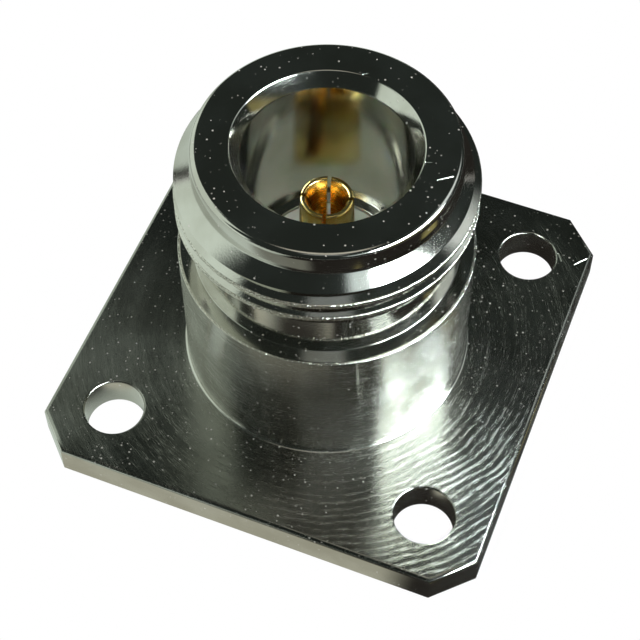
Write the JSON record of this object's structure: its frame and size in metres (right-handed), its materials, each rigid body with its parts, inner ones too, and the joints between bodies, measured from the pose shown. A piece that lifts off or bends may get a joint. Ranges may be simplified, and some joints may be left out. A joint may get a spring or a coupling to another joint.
{
  "type": "n type panel connector",
  "caption": "Screw-coupled coaxial panel receptacle with a square four-hole flange, socket centre contact and a solder cup behind.",
  "frame": {"origin": "centre of the flange's rear mounting face, on the connector's axis", "axes": "+Z along the connector's axis towards the mating end, flange sides along X and Y"},
  "size_m": [0.0254, 0.0254, 0.0237],
  "materials": {
    "nickel_plate": "bright nickel plate over turned brass",
    "white_ptfe": "turned PTFE, satin",
    "gold_plate": "bright gold plate over a copper alloy"
  },
  "bodies": {
    "root": {"body": "nickel_plate", "insulator": "white_ptfe", "centre_contact": "gold_plate"}
  },
  "joints": []
}
